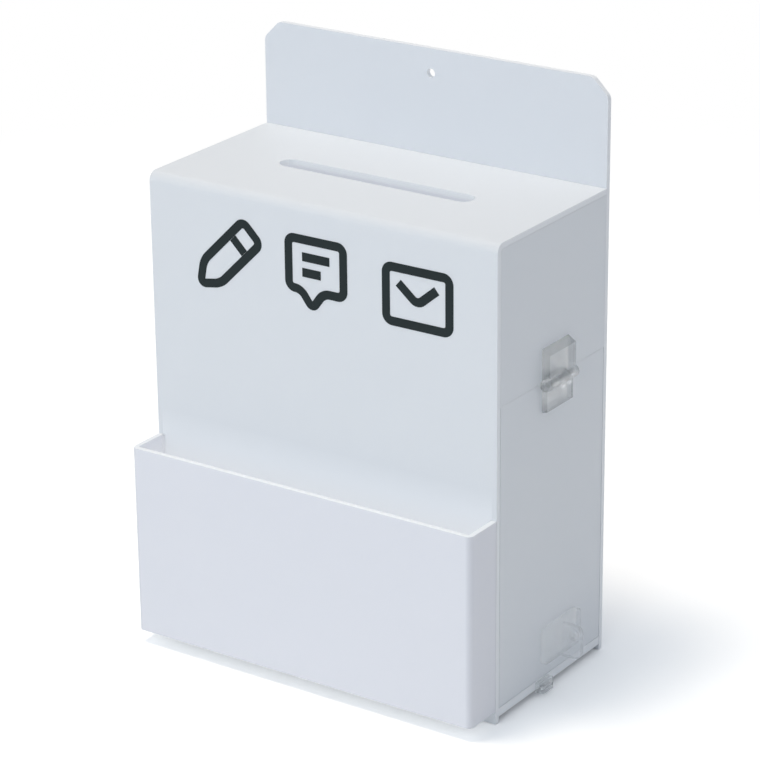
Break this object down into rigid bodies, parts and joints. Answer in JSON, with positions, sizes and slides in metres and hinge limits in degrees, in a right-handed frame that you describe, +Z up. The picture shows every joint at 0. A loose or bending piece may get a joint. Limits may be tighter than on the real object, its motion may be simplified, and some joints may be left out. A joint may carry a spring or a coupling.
{
  "type": "suggestion box",
  "caption": "White acrylic box with a posting slot in its top, a leaflet pocket on its front, a tall back panel to hang it by and a hinged side door with a clear hasp.",
  "frame": {"origin": "middle of the whole outline, on the surface that the box stands on", "axes": "+Z up, -Y out of the front with the leaflet pocket, +X towards the side with the door"},
  "size_m": [0.231, 0.131, 0.32],
  "materials": {
    "white_acrylic": "glossy opal white sheet",
    "clear_acrylic": "clear and polished"
  },
  "bodies": {
    "case": {"front_top_sheet": "white_acrylic", "back_panel": "white_acrylic", "left_side_panel": "white_acrylic", "right_side_panel": "white_acrylic", "base_plate": "white_acrylic", "pocket_sheet": "white_acrylic", "pocket_floor": "white_acrylic", "door_stop_front": "white_acrylic", "door_stop_rear": "white_acrylic", "hinge_upper_leaf": "clear_acrylic", "hinge_pin": "clear_acrylic", "base_hasp": "clear_acrylic"},
    "door": {"side_door": "white_acrylic", "hinge_lower_leaf": "clear_acrylic", "door_hasp": "clear_acrylic"}
  },
  "joints": [
    {"name": "door_hinge", "type": "hinge", "parent": "case", "child": "door", "pos_m": [0.1032, 0.0132, 0.1755], "axis": [0, -1, 0], "range_deg": [0, 110]}
  ]
}
